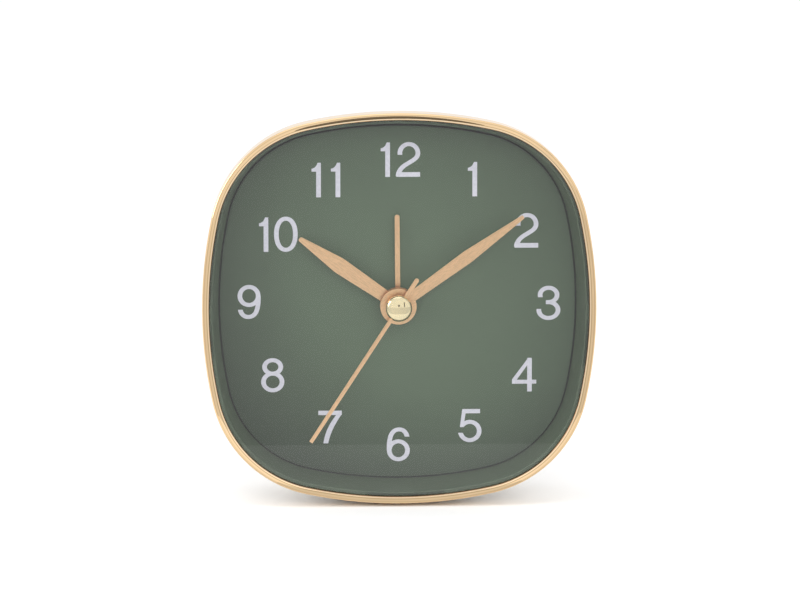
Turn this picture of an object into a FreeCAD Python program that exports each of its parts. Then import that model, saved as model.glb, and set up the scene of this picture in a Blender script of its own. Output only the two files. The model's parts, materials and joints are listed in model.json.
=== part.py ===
import FreeCAD, Part
import math
import os
from FreeCAD import Vector

# A small rounded-square quartz alarm clock that stands on a shelf, with four hands behind a
# flat lens, a gold bezel, an off-white case, and its movement, battery and knobs at the back.
# Millimetres. X points right and Z up as seen from the front, and Y points to the back.
# The origin lies under the middle of the clock, on the surface that the clock stands on.
# An inset is measured inwards from the bezel's outline, and a depth back from its front.

# Face outline: a square of four long side arcs and four corner arcs, all tangent
bezel_half = 45.0
corner_radius = 28.0
side_radius = 100.0

# Bezel and lens
lip_width = 1.7
lip_thickness = 0.8
skirt_wall = 0.6
skirt_length = 4.2
bezel_edge = 0.35
snap_gap = 0.15
lens_thickness = 1.0

# Dial ring, dial and the carrier behind them
flange_thickness = 0.8
ring_front_inset = 2.4
ring_back_inset = 3.9
ring_wall = 0.7
ring_edge = 0.25
dial_depth = 11.4
dial_thickness = 0.6
dial_gap = 0.4
dial_hole_radius = 3.1
carrier_thickness = 1.6
carrier_gap = 0.2

# Case shell
case_step = 0.2
case_wall = 1.8
taper_start = 8.0
taper_round = 36.0
back_inset = 5.0
back_edge_radius = 2.5
rim_inset = 7.6
rim_edge = 0.3
cover_ledge = 0.8
ledge_thickness = 1.4
carrier_ledge = 1.4

# Foot under the case, with pads let into it
foot_drop = 0.7
pad_proud = 0.3
plinth_front_half = 14.0
plinth_back_half = 17.5
plinth_front = 8.4
plinth_back = 30.0
plinth_edge = 2.0
pad_length = 7.0
pad_width = 3.2
pad_round = 1.5
pad_sunk = 0.7
pad_half_spread = 8.8
pad_margin = 1.4

# Rear cover and what opens in it
cover_thickness = 1.6
cover_gap = 0.15
cover_edge = 0.4
post_radius = 2.4
post_movement_gap = 1.5
upper_post_share = 0.64
lower_post_shares = (0.859, -0.295)
screw_radius = 1.0
screw_head_radius = 1.9
screw_head_height = 1.1
screw_length = 8.0
screw_fit = 0.03
screw_recess = 0.6
drive_slot_width = 0.5
drive_slot_depth = 0.5

# Battery, size R6, with its tray, contacts and door
battery_length = 50.5
battery_radius = 7.25
battery_nub_radius = 2.75
battery_nub_length = 1.2
battery_edge = 0.6
battery_room = 0.35
battery_drop = 22.4
tray_wall = 1.0
tray_floor = 1.3
tray_end_room = 2.3
tray_height_share = 0.72
contact_thickness = 0.3
contact_width = 6.0
contact_bend = 0.6
door_gap = 0.2
door_side_margin = 2.0
door_end_margin = 0.35
door_thickness = 1.4
door_tab_width = 5.0
door_tab_reach = 1.2
door_tab_thickness = 0.8
door_tab_drop = 0.3
door_tab_spread = 15.0
door_grip_width = 9.0
door_grip_depth = 0.7
door_grip_radius = 2.2

# Movement housing: two trays with a plate between them
movement_half_width = 25.0
movement_bottom = 13.5
movement_top = 24.0
movement_corner = 2.0
housing_wall = 1.2
plate_thickness = 1.0
nose_wall = 0.65
nose_proud = 0.2
boss_radius = 1.7
movement_screw_radius = 0.7
movement_head_radius = 1.5
movement_head_height = 0.8
movement_screw_bite = 1.0
boss_inset = 2.7
boss_low_offset = 2.3

# Wheels: axial places, running gaps and tooth forms
axis_drop = 0.3
wheel_thickness = 0.7
layer_gap = 0.3
cam_height = 0.5
shoulder_gap = 0.1
running_gap = 0.06
pivot_gap = 0.05
pivot_radius = 0.3
pivot_length = 0.7
setting_pivot_radius = 0.5
arbor_radius = 0.5
setting_arbor_radius = 0.9
pinion_form_shares = {"root": 0.44, "tip": 0.26, "addendum": 0.75, "dedendum": 1.1}
wheel_form_shares = {"root": 0.60, "tip": 0.22, "addendum": 0.8, "dedendum": 1.0}

# Going train, from the rotor to the centre wheel
rotor_pinion_teeth = 6
drive_wheel_teeth = 36
drive_pinion_teeth = 6
second_wheel_teeth = 30
second_pinion_teeth = 6
third_wheel_teeth = 45
third_pinion_teeth = 6
centre_wheel_teeth = 48
rotor_module = 0.3
drive_module = 0.52
third_module = 0.36
third_angle = 90.0
drive_angle = 215.0
rotor_angle = 180.0

# Motion work and alarm setting
cannon_teeth = 10
minute_wheel_teeth = 30
minute_pinion_teeth = 8
hour_wheel_teeth = 32
alarm_wheel_teeth = 30
alarm_pinion_teeth = 10
motion_module = 0.55
time_arbor_angle = 150.0
alarm_arbor_angle = 30.0
cam_ring_radius = 5.6
cam_ring_width = 1.2
cam_notch_width = 2.0
cam_lug_width = 1.4

# Nested pipes and the hands that they carry
second_arbor_radius = 0.5
cannon_pipe_wall = 0.44
hour_pipe_wall = 0.54
alarm_pipe_wall = 0.56
seat_step = 0.22
seat_fit = 0.02
seat_proud = 0.25
alarm_hand_depth = 9.6
hour_hand_depth = 8.2
minute_hand_depth = 6.0
second_hand_depth = 3.9
disc_radius = 4.15
inner_disc_radius = 3.2
inner_disc_height = 0.15
alarm_disc_radius = 3.6
hand_thickness = 0.35
blade_round = 12.0

# Each hand: length, width at the hub, greatest width and where it lies, tip width, tip radius
alarm_hand_sizes = (20.7, 1.15, 1.15, 10.0, 1.1, 0.5)
hour_hand_sizes = (27.4, 2.6, 3.7, 16.4, 1.0, 0.45)
minute_hand_sizes = (35.3, 2.2, 3.0, 19.6, 0.85, 0.4)
second_hand_sizes = (37.0, 0.9, 0.9, 18.0, 0.85, 0.15)
second_tail_sizes = (8.0, 0.9, 1.0, 4.0, 1.0, 0.45)
second_boss_radius = 2.6
second_collet_radius = 1.2
second_collet_length = 1.0
cap_radius = 2.97
cap_wall_height = 1.3
cap_dome_height = 0.6
cap_lip = 0.12
cap_bore_depth = 0.8

# The time that the hands show, in degrees clockwise from twelve
minute_hand_angle = 54.2
hours_shown = 10
second_hand_angle = 213.0
alarm_hand_angle = -0.5

# Stepping motor
magnet_radius = 2.2
magnet_length = 1.6
magnet_gap = 0.35
stator_thickness = 0.8
stator_half_width = 3.2
stator_half_height = 6.6
stator_leg_width = 2.2
stator_notch_radius = 0.45
coil_offset = 6.4
coil_flange_radius = 2.3
coil_flange_thickness = 0.6
coil_tube_radius = 1.3
winding_radius = 2.05
core_width = 1.6
core_thickness = 0.8
stator_post_radius = 0.9

# Circuit board, buzzer, alarm contact and switch
board_arbor_gap = 2.2
board_wall_gap = 0.4
board_half_height = 11.2
board_rise = 0.6
board_thickness = 0.8
board_edge = 0.8
crystal_radius = 1.0
crystal_length = 6.0
crystal_gap = 0.05
chip_radius = 2.6
chip_height = 0.9
chip_side_radius = 0.5
buzzer_radius = 9.0
buzzer_thickness = 0.5
buzzer_disc_share = 0.7
buzzer_stand = 0.5
buzzer_ring_wall = 0.8
buzzer_height = 23.0
sound_hole_radius = 0.75
sound_hole_ring_radius = 4.2
sound_hole_count = 6
leaf_thickness = 0.15
leaf_width = 2.4
leaf_tip = 4.0
leaf_wall_gap = 3.8
leaf_foot_length = 3.6
leaf_rise_length = 3.0
leaf_bend = 0.5
leaf_drop = 4.4
switch_offset = 22.5
switch_slot_width = 3.4
switch_lever_width = 3.0
switch_lever_height = 4.4
switch_travel = 3.0
switch_proud = 1.6
switch_base_width = 6.0
switch_base_overlap = 1.2
switch_base_thickness = 0.8
switch_edge = 0.4
switch_gap = 0.1
switch_rail = 0.8

# Knobs
knob_radius = 6.4
knob_flute_count = 22
knob_flute_depth = 0.35
knob_height = 3.3
knob_flange_height = 0.7
knob_gap = 0.3
knob_edge = 0.5
knob_bore_depth = 2.2
knob_form_shares = {"root": 0.66, "tip": 0.42}

# Places along the depth, from front to back
lens_depth = lip_thickness
flange_depth = lens_depth + lens_thickness
spigot_depth = flange_depth + flange_thickness
carrier_depth = dial_depth + dial_thickness
movement_depth = carrier_depth + carrier_thickness
cover_depth = movement_depth + tray_floor + 2 * (battery_radius + battery_room)
back_depth = cover_depth + cover_thickness
overall_depth = back_depth + knob_gap + knob_height
cavity_front = movement_depth + housing_wall
level_step = wheel_thickness + 2 * layer_gap
alarm_level = cavity_front + layer_gap
hour_level = alarm_level + wheel_thickness + 2 * cam_height + layer_gap
motion_level = hour_level + level_step
plate_depth = motion_level + level_step
centre_level = plate_depth + plate_thickness + layer_gap
third_level = centre_level + level_step
second_level = third_level + level_step
drive_level = second_level + level_step
cavity_back = drive_level + wheel_thickness + layer_gap
movement_back_depth = cavity_back + housing_wall
battery_depth = movement_depth + tray_floor + battery_room + battery_radius

# Other sizes that follow from those above
face_height = bezel_half + foot_drop
lens_inset = skirt_wall + snap_gap
ring_slope = (ring_back_inset - ring_front_inset) / (carrier_depth - flange_depth)
case_slope = (back_inset - case_step) / (back_depth - taper_start)
cover_inset = rim_inset + cover_gap
cover_half = bezel_half - cover_inset
cannon_pipe_bore = second_arbor_radius + running_gap
cannon_pipe_radius = cannon_pipe_bore + cannon_pipe_wall
hour_pipe_bore = cannon_pipe_radius + running_gap
hour_pipe_radius = hour_pipe_bore + hour_pipe_wall
alarm_pipe_bore = hour_pipe_radius + running_gap
alarm_pipe_radius = alarm_pipe_bore + alarm_pipe_wall
nose_bore = alarm_pipe_radius + running_gap
nose_radius = nose_bore + nose_wall
tray_reach = battery_radius + battery_room + tray_wall
tray_half_length = battery_length / 2 + tray_end_room + tray_wall
third_distance = (second_pinion_teeth + third_wheel_teeth) * third_module / 2
centre_module = 2 * third_distance / (third_pinion_teeth + centre_wheel_teeth)
drive_distance = (second_wheel_teeth + drive_pinion_teeth) * drive_module / 2
rotor_distance = (drive_wheel_teeth + rotor_pinion_teeth) * rotor_module / 2
motion_distance = (cannon_teeth + minute_wheel_teeth) * motion_module / 2
alarm_distance = (alarm_wheel_teeth + alarm_pinion_teeth) * motion_module / 2
backwards = Vector(0, 1, 0)


def at(x, depth, z):
    """A point right of, behind and above the middle of the bezel's front."""
    return Vector(x, depth - overall_depth / 2, face_height + z)


def axle(x, depth, z):
    """A point placed from the axis that the hands turn about."""
    return at(x, depth, z - axis_drop)


def polar(distance, angle):
    """The place at a distance from the hands' axis, at an angle from right towards up."""
    return (distance * math.cos(math.radians(angle)), distance * math.sin(math.radians(angle)))


centre = (0, 0)
third_place = polar(third_distance, third_angle)
drive_place = polar(drive_distance, drive_angle)
rotor_step = polar(rotor_distance, rotor_angle)
rotor_place = (drive_place[0] + rotor_step[0], drive_place[1] + rotor_step[1])
time_place = polar(motion_distance, time_arbor_angle)
alarm_place = polar(alarm_distance, alarm_arbor_angle)
coil_place = (rotor_place[0] - coil_offset, rotor_place[1])
upper_post_x = movement_half_width + post_movement_gap + post_radius
post_places = [(side * x, cover_half * z) for side in (-1, 1)
               for x, z in ((upper_post_x, upper_post_share),
                            (cover_half * lower_post_shares[0], lower_post_shares[1]))]
board_left = alarm_place[0] + setting_arbor_radius + board_arbor_gap
board_right = movement_half_width - housing_wall - board_wall_gap
leaf_foot = movement_half_width - housing_wall - leaf_wall_gap
boss_places = [(-movement_half_width + boss_inset, movement_top - boss_inset),
               (movement_half_width - boss_inset, movement_top - boss_inset),
               (0, boss_low_offset - movement_bottom)]


def outline_arcs():
    """The eight tangent arcs of the face outline: centre, radius, start angle and sweep."""
    side = side_radius - bezel_half
    spread = side_radius - corner_radius
    corner = (math.sqrt(2 * spread ** 2 - side ** 2) - side) / 2
    side_angle = math.degrees(math.atan2(corner, corner + side))
    arcs = []
    for turn in (0, 90, 180, 270):
        x, z = polar(-side, turn)
        arcs.append((x, z, side_radius, turn - side_angle, 2 * side_angle))
        x, z = polar(corner * math.sqrt(2), turn + 45)
        arcs.append((x, z, corner_radius, turn + side_angle, 90 - 2 * side_angle))
    return arcs


def rounded_wire(corners):
    """A closed flat wire through corners (x, y, radius), each rounded by its radius."""
    joints = []
    for index, (x, y, radius) in enumerate(corners):
        here = Vector(x, y, 0)
        before = Vector(corners[index - 1][0], corners[index - 1][1], 0)
        after = Vector(corners[(index + 1) % len(corners)][0], corners[(index + 1) % len(corners)][1], 0)
        if radius == 0:
            joints.append((here, None, here))
            continue
        towards_before = (before - here).normalize()
        towards_after = (after - here).normalize()
        half_angle = towards_before.getAngle(towards_after) / 2
        middle = (towards_before + towards_after).normalize()
        reach = radius / math.tan(half_angle)
        round_point = here + middle * (radius / math.sin(half_angle) - radius)
        joints.append((here + towards_before * reach, round_point, here + towards_after * reach))
    edges = []
    for index, (first, round_point, last) in enumerate(joints):
        if round_point is not None:
            edges.append(Part.Arc(first, round_point, last).toShape())
        edges.append(Part.LineSegment(last, joints[(index + 1) % len(joints)][0]).toShape())
    return Part.Wire(edges)


def sector(corners, arc):
    """A profile of (inset, depth, radius) corners swept about one arc of the outline."""
    x, z, radius, start, sweep = arc
    profile = Part.Face(rounded_wire([(radius - inset, depth, r) for inset, depth, r in corners]))
    hub = at(x, 0, z)
    profile.translate(hub)
    profile.rotate(hub, -backwards, start)
    return profile.revolve(hub, -backwards, sweep)


def ring(corners):
    """A profile of (inset, depth, radius) corners swept all round the outline."""
    parts = [sector(corners, arc) for arc in outline_arcs()]
    return parts[0].multiFuse(parts[1:]).removeSplitter().Solids[0]


def plate(inset, depth, thickness):
    """A flat plate of the outline's shape."""
    edges = []
    for x, z, radius, start, sweep in outline_arcs():
        points = []
        for angle in (start, start + sweep / 2, start + sweep):
            along_x, along_z = polar(radius - inset, angle)
            points.append(at(x + along_x, depth, z + along_z))
        edges.append(Part.Arc(*points).toShape())
    return Part.Face(Part.Wire(edges)).extrude(backwards * thickness)


def cylinder(place, radius, front, back):
    """A round bar along the depth."""
    return Part.makeCylinder(radius, back - front, axle(place[0], front, place[1]), backwards)


def tube(place, radius, bore, front, back):
    """A round bar along the depth, with a bore right through."""
    return cylinder(place, radius, front, back).cut(cylinder(place, bore, front, back))


def block(left, right, front, back, low, high):
    """A box by its sides, all placed from the hands' axis."""
    return Part.makeBox(right - left, back - front, high - low, axle(left, front, low))


def pressed(corners, front, thickness):
    """A flat piece cut to an outline of (x, z, radius) corners, facing the front."""
    sheet = Part.Face(rounded_wire(corners)).extrude(Vector(0, 0, -thickness))
    sheet.rotate(Vector(), Vector(1, 0, 0), 90)
    sheet.translate(axle(0, front, 0))
    return sheet


def side_profile(corners, left, width):
    """A bar along X with a section of (depth, z, radius) corners."""
    bar = Part.Face(rounded_wire(corners)).extrude(Vector(0, 0, width))
    bar.rotate(Vector(), Vector(1, 1, 1), 120)
    bar.translate(axle(left, 0, 0))
    return bar


def top_profile(corners, low, height):
    """An upright bar with a section of (x, depth, radius) corners."""
    bar = Part.Face(rounded_wire(corners)).extrude(Vector(0, 0, height))
    bar.translate(axle(0, 0, low))
    return bar


def rounded_block(left, right, low, high, radius, front, thickness):
    """A flat plate with four rounded corners, facing the front."""
    corners = [(left, low, radius), (right, low, radius), (right, high, radius), (left, high, radius)]
    return pressed(corners, front, thickness)


def join(shape, *others):
    """One solid from pieces that meet."""
    return shape.multiFuse(list(others)).removeSplitter()


def edges_at(shape, depth, smallest):
    """The edges that lie flat at a depth and are at least so long."""
    plane = at(0, depth, 0).y
    found = []
    for edge in shape.Edges:
        flat = all(abs(vertex.Y - plane) < running_gap / 2 for vertex in edge.Vertexes)
        if flat and edge.Length > smallest and edge.BoundBox.YLength < running_gap / 2:
            found.append(edge)
    return found


def toothed(teeth, module, form, front, length, phase, place):
    """A gear with flat-sided teeth, its phase being the angle of one tooth's middle."""
    pitch_radius = teeth * module / 2
    root = pitch_radius - form["dedendum"] * module
    tip = pitch_radius + form["addendum"] * module
    half_root = form["root"] * math.pi * module / 2
    half_tip = form["tip"] * math.pi * module / 2
    points = []
    for tooth in range(teeth):
        middle = phase + 360 * tooth / teeth
        for radius, half_width in ((root, -half_root), (tip, -half_tip), (tip, half_tip), (root, half_root)):
            x, z = polar(radius, middle + math.degrees(math.asin(half_width / radius)))
            points.append(axle(place[0] + x, front, place[1] + z))
    return Part.Face(Part.makePolygon(points + points[:1])).extrude(backwards * length)


def wheel(teeth, module, level, phase, place):
    """A thin wheel at its own level."""
    return toothed(teeth, module, wheel_form_shares, level, wheel_thickness, phase, place)


def pinion(teeth, module, level, phase, place):
    """A pinion that is a little longer than the wheel that it drives."""
    front = level - layer_gap / 2
    return toothed(teeth, module, pinion_form_shares, front, wheel_thickness + layer_gap, phase, place)


def mesh_phase(phase, teeth, other_teeth, direction):
    """The phase of a gear in mesh with one of this phase, which lies in this direction from it."""
    return direction + 180 + 180 / other_teeth - (phase - direction) * teeth / other_teeth


def pivoted(place, radius, pivot, front, back, front_pivot, back_pivot):
    """An arbor between two walls, with a thin pivot into each wall that has its bearing."""
    bar = cylinder(place, radius, front + shoulder_gap, back - shoulder_gap)
    if front_pivot:
        bar = join(bar, cylinder(place, pivot, front - pivot_length, front + shoulder_gap))
    if back_pivot:
        bar = join(bar, cylinder(place, pivot, back - shoulder_gap, back + pivot_length))
    return bar


def pivot_hole(place, pivot, front):
    """The bearing hole for one pivot, a little deeper than the pivot is long."""
    return cylinder(place, pivot + pivot_gap, front, front + pivot_length + shoulder_gap)


def make_bezel():
    """A thin bright frame with a rounded front lip and a skirt round the case."""
    return ring([(0, 0, bezel_edge), (0, skirt_length, 0), (skirt_wall, skirt_length, 0),
                 (skirt_wall, lip_thickness, 0), (lip_width, lip_thickness, 0), (lip_width, 0, bezel_edge)])


def make_lens():
    """A flat clear window behind the bezel's lip."""
    return plate(lens_inset, lens_depth, lens_thickness)


def make_dial_ring():
    """The sloping wall from the lens down to the dial, with a flange under the lens."""
    outer_top = ring_front_inset + ring_slope * flange_thickness - ring_wall
    return ring([(lens_inset, flange_depth, 0), (lens_inset, spigot_depth, 0), (outer_top, spigot_depth, 0),
                 (ring_back_inset - ring_wall, carrier_depth, 0), (ring_back_inset, carrier_depth, 0),
                 (ring_front_inset, flange_depth, ring_edge)])


def make_dial():
    """The flat dial plate, smaller than the ring by a thin dark gap."""
    dial = plate(ring_back_inset + dial_gap, dial_depth, dial_thickness)
    return dial.cut(cylinder(centre, dial_hole_radius, dial_depth, carrier_depth))


def wall_inset(depth):
    """How far the case's inner wall lies inside the outline at a depth."""
    return case_step + case_wall + (depth - taper_start) * case_slope


def make_carrier():
    """The dark plate that carries the dial and the movement, with posts for the rear cover."""
    carrier = plate(wall_inset(movement_depth) + carrier_gap, carrier_depth, carrier_thickness)
    posts = [cylinder(place, post_radius, carrier_depth, cover_depth) for place in post_places]
    carrier = join(carrier, *posts)
    carrier = carrier.cut(cylinder(centre, nose_radius + running_gap, carrier_depth, movement_depth))
    for place in post_places:
        pilot_front = back_depth - screw_recess - screw_length - shoulder_gap
        carrier = carrier.cut(cylinder(place, screw_radius + screw_fit, pilot_front, cover_depth))
    for place in boss_places:
        pilot_front = movement_depth - movement_screw_bite - shoulder_gap
        carrier = carrier.cut(cylinder(place, movement_screw_radius + screw_fit, pilot_front, movement_depth))
    return carrier


def make_case():
    """The off-white shell: a spigot for the bezel, a long taper, and ledges inside."""
    ledge_front = cover_depth - ledge_thickness
    ledge_back = movement_depth + carrier_ledge
    carrier_inset = wall_inset(movement_depth) + carrier_gap
    spigot_inner = ring_front_inset + ring_slope * flange_thickness - ring_wall - snap_gap
    corners = [(lens_inset, spigot_depth, 0), (lens_inset, skirt_length, 0), (case_step, skirt_length, 0),
               (case_step, taper_start, taper_round), (back_inset, back_depth, back_edge_radius),
               (rim_inset, back_depth, rim_edge), (rim_inset, cover_depth, 0),
               (rim_inset + cover_ledge, cover_depth, 0), (rim_inset + cover_ledge, ledge_front, 0),
               (wall_inset(ledge_front), ledge_front, 0), (wall_inset(ledge_back), ledge_back, 0),
               (carrier_inset + carrier_ledge, ledge_back, 0),
               (carrier_inset + carrier_ledge, movement_depth, 0),
               (wall_inset(movement_depth), movement_depth, 0), (wall_inset(taper_start), taper_start, 0),
               (spigot_inner, spigot_depth, 0)]
    return join(ring(corners), make_plinth()).Solids[0]


def pad_depths():
    """Where the front and back pairs of pads have their middles."""
    edge = pad_margin + pad_width / 2
    return (plinth_front + edge, plinth_back - plinth_edge - edge)


def pad_outline(x, depth, grow):
    """A pad's outline, a bar with rounded ends, made larger all round by an amount."""
    half_length = pad_length / 2 + grow
    half_width = pad_width / 2 + grow
    radius = pad_round + grow
    return [(x - half_length, depth - half_width, radius), (x + half_length, depth - half_width, radius),
            (x + half_length, depth + half_width, radius), (x - half_length, depth + half_width, radius)]


def pads(low, high, grow):
    """The four pads, or with some growth the pockets that they sit in."""
    found = []
    for depth in pad_depths():
        for x in (-pad_half_spread, pad_half_spread):
            bar = top_profile(pad_outline(x, depth, grow), low, high - low)
            bar.translate(Vector(0, 0, axis_drop - face_height))
            found.append(bar)
    return found


def make_plinth():
    """The flat-bottomed foot under the case, cut off where it meets the case's inner wall."""
    outline = [(-plinth_front_half, plinth_front, plinth_edge),
               (plinth_front_half, plinth_front, plinth_edge),
               (plinth_back_half, plinth_back, plinth_edge), (-plinth_back_half, plinth_back, plinth_edge)]
    height = foot_drop + case_step + wall_inset(plinth_back)
    plinth = top_profile(outline, 0, height)
    plinth.translate(Vector(0, 0, axis_drop - face_height + pad_proud))
    x, z, radius, start, sweep = outline_arcs()[6]
    hollow_corners = [(wall_inset(taper_start), taper_start, 0), (wall_inset(cover_depth), cover_depth, 0),
                      (bezel_half, cover_depth, 0), (bezel_half, taper_start, 0)]
    hollow = sector(hollow_corners, (x, z, radius, start - sweep / 2, 2 * sweep))
    plinth = plinth.cut(hollow)
    for pocket in pads(0, pad_sunk + pad_proud, running_gap):
        plinth = plinth.cut(pocket)
    return plinth


def make_pads():
    """Four soft pads that stand a little proud of the foot."""
    return Part.makeCompound(pads(0, pad_sunk + pad_proud, 0))


def door_sides():
    """The left, right, low and high edges of the battery door's opening."""
    half = battery_length / 2 + door_side_margin
    low = -battery_drop - battery_radius - door_end_margin
    high = -battery_drop + battery_radius + door_end_margin
    return (-half, half, low, high)


def make_rear_cover():
    """The back plate: door opening, knob and switch openings, sound holes and screw seats."""
    cover = plate(cover_inset, cover_depth, cover_thickness)
    cover = cover.makeFillet(cover_edge, edges_at(cover, back_depth, cover_edge))
    left, right, low, high = door_sides()
    cover = cover.cut(block(left, right, cover_depth, back_depth, low, high))
    grip = cylinder((0, high), door_grip_width / 2, back_depth - door_grip_depth, back_depth)
    cover = cover.cut(grip)
    for place in (time_place, alarm_place):
        hole = setting_arbor_radius + knob_gap
        cover = cover.cut(cylinder(place, hole, cover_depth, back_depth))
    for place in post_places:
        seat = screw_head_radius + cover_gap
        cover = cover.cut(cylinder(place, screw_radius + cover_gap, cover_depth, back_depth))
        cover = cover.cut(cylinder(place, seat, back_depth - screw_recess, back_depth))
    sounder = (0, buzzer_height)
    holes = [sounder]
    for index in range(sound_hole_count):
        x, z = polar(sound_hole_ring_radius, 360 * index / sound_hole_count)
        holes.append((sounder[0] + x, sounder[1] + z))
    for place in holes:
        cover = cover.cut(cylinder(place, sound_hole_radius, cover_depth, back_depth))
    stand_front = cover_depth - buzzer_stand
    stand = tube(sounder, buzzer_radius, buzzer_radius - buzzer_ring_wall, stand_front, cover_depth)
    half_slot = switch_lever_height / 2 + switch_travel / 2 + switch_gap
    x, z = switch_middle()
    half_width = switch_slot_width / 2
    slot = block(x - half_width, x + half_width, cover_depth, back_depth, z - half_slot, z + half_slot)
    cover = cover.cut(slot)
    rails = []
    for side in (-1, 1):
        middle = x + side * (switch_base_width / 2 + switch_gap + switch_rail / 2)
        rail_front = cover_depth - switch_gap - switch_base_thickness
        rail_half = switch_base_half() + switch_travel / 2
        rails.append(block(middle - switch_rail / 2, middle + switch_rail / 2, rail_front, cover_depth,
                           z - rail_half, z + rail_half))
    return join(cover, stand, *rails)


def make_battery_door():
    """A lid flush with the back, which tilts out about two tabs at its lower edge."""
    left, right, low, high = door_sides()
    left, right = left + door_gap, right - door_gap
    low, high = low + door_gap, high - door_gap
    front = back_depth - door_thickness
    door = block(left, right, front, back_depth, low, high)
    grip = side_profile([(back_depth - door_grip_depth, high, 0), (back_depth, high, 0),
                         (back_depth, high - door_grip_radius, 0)], -door_grip_width / 2, door_grip_width)
    door = door.cut(grip)
    tab_back = cover_depth - door_tab_drop
    tab_front = tab_back - door_tab_thickness
    bottom = low - door_gap - door_tab_reach
    tab_corners = [(tab_front, bottom, 0), (tab_back, bottom, 0), (tab_back, low, 0), (front, low, 0),
                   (front, low + door_tab_reach, 0), (tab_front, low, 0)]
    tabs = []
    for x in (-door_tab_spread, door_tab_spread):
        tabs.append(side_profile(tab_corners, x - door_tab_width / 2, door_tab_width))
    return join(door, *tabs)


def make_battery_tray():
    """A trough on the carrier, with end walls that hold the contacts."""
    half = tray_half_length
    back = movement_depth + tray_floor + 2 * battery_radius * tray_height_share
    floor = movement_depth
    outer = block(-half, half, floor, back, -battery_drop - tray_reach, -battery_drop + tray_reach)
    inner_reach = tray_reach - tray_wall
    inner = block(tray_wall - half, half - tray_wall, floor + tray_floor, back,
                  -battery_drop - inner_reach, -battery_drop + inner_reach)
    return outer.cut(inner)


def make_battery():
    """A dry cell of size R6, lying across the clock."""
    shoulder = battery_length / 2 - battery_nub_length
    start = axle(-battery_length / 2, battery_depth, -battery_drop)
    along = Vector(1, 0, 0)
    can = Part.makeCylinder(battery_radius, shoulder + battery_length / 2, start, along)
    rims = [edge for edge in can.Edges if edge.BoundBox.XLength < battery_edge / 2]
    can = can.makeFillet(battery_edge, rims)
    nub_start = axle(shoulder, battery_depth, -battery_drop)
    nub = Part.makeCylinder(battery_nub_radius, battery_nub_length, nub_start, along)
    return join(can, nub)


def make_contact(side):
    """A bent strip between the tray's end wall and one end of the battery."""
    wall = battery_length / 2 + tray_end_room
    end = battery_length / 2
    thin = contact_thickness
    front = movement_depth + tray_floor
    reach = battery_depth + contact_width / 2
    bend = contact_bend + thin
    outside = [(end, reach, 0), (end, front, bend), (wall, front, bend), (wall, reach, 0)]
    inside = [(wall - thin, reach, 0), (wall - thin, front + thin, contact_bend),
              (end + thin, front + thin, contact_bend), (end + thin, reach, 0)]
    corners = [(side * x, depth, radius) for x, depth, radius in outside + inside]
    return top_profile(corners, -battery_drop - contact_width / 2, contact_width)


def housing_plate(depth, thickness):
    """The movement's outline as a flat plate."""
    return rounded_block(-movement_half_width, movement_half_width, -movement_bottom, movement_top,
                         movement_corner, depth, thickness)


def housing_hollow(depth, length):
    """The room inside one half of the movement's housing."""
    wall = housing_wall
    return rounded_block(wall - movement_half_width, movement_half_width - wall, wall - movement_bottom,
                         movement_top - wall, movement_corner / 2, depth, length)


def screw_ways(front, back):
    """Clearance for the movement's screws."""
    return [cylinder(place, movement_screw_radius + cover_gap, front, back) for place in boss_places]


def cut_all(shape, cutters):
    """A shape with several others cut out of it."""
    for cutter in cutters:
        shape = shape.cut(cutter)
    return shape


def make_movement_front():
    """The front tray of the movement, with the nose that passes the dial."""
    tray = housing_plate(movement_depth, plate_depth - movement_depth)
    tray = tray.cut(housing_hollow(cavity_front, plate_depth - cavity_front))
    bosses = [cylinder(place, boss_radius, cavity_front, plate_depth) for place in boss_places]
    nose = cylinder(centre, nose_radius, dial_depth - nose_proud, cavity_front)
    tray = join(tray, nose, *bosses)
    tray = tray.cut(cylinder(centre, nose_bore, dial_depth - nose_proud, cavity_front))
    bearings = []
    for place in (time_place, alarm_place):
        bearings.append(pivot_hole(place, setting_pivot_radius, cavity_front - pivot_length - shoulder_gap))
    return cut_all(tray, bearings + screw_ways(movement_depth, plate_depth))


def make_movement_plate():
    """The plate between the two trays, with bearings and posts for the stator."""
    back = plate_depth + plate_thickness
    sheet = housing_plate(plate_depth, plate_thickness)
    posts = []
    for direction in (-1, 1):
        z = rotor_place[1] + direction * (stator_half_height - stator_leg_width / 2)
        posts.append(cylinder((coil_place[0], z), stator_post_radius, back, stator_depth()))
    sheet = join(sheet, *posts)
    ways = [cylinder(centre, cannon_pipe_radius + running_gap, plate_depth, back)]
    for place in (time_place, alarm_place):
        ways.append(cylinder(place, setting_arbor_radius + pivot_gap, plate_depth, back))
    for place in (third_place, drive_place, rotor_place):
        ways.append(pivot_hole(place, pivot_radius, back - pivot_length - shoulder_gap))
    return cut_all(sheet, ways + screw_ways(plate_depth, back))


def make_movement_back():
    """The back tray of the movement, with the rear bearings."""
    front = plate_depth + plate_thickness
    tray = housing_plate(front, movement_back_depth - front)
    tray = tray.cut(housing_hollow(front, cavity_back - front))
    bosses = [cylinder(place, boss_radius, front, cavity_back) for place in boss_places]
    tray = join(tray, *bosses)
    ways = []
    for place in (time_place, alarm_place):
        ways.append(cylinder(place, setting_arbor_radius + pivot_gap, cavity_back, movement_back_depth))
    for place in (centre, third_place, drive_place, rotor_place):
        ways.append(pivot_hole(place, pivot_radius, cavity_back))
    return cut_all(tray, ways + screw_ways(front, movement_back_depth))


def make_screws(places, radius, head_radius, head_height, seat, length):
    """Equal screws, their heads on a seat and their shanks pointing to the front."""
    screws = []
    for place in places:
        head = cylinder(place, head_radius, seat, seat + head_height)
        slot_front = seat + head_height - drive_slot_depth
        for across in (head_radius, drive_slot_width / 2):
            along = head_radius + drive_slot_width / 2 - across
            head = head.cut(block(place[0] - across, place[0] + across, slot_front, seat + head_height,
                                  place[1] - along, place[1] + along))
        screws.append(join(head, cylinder(place, radius, seat - length, seat)))
    return Part.makeCompound(screws)


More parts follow.
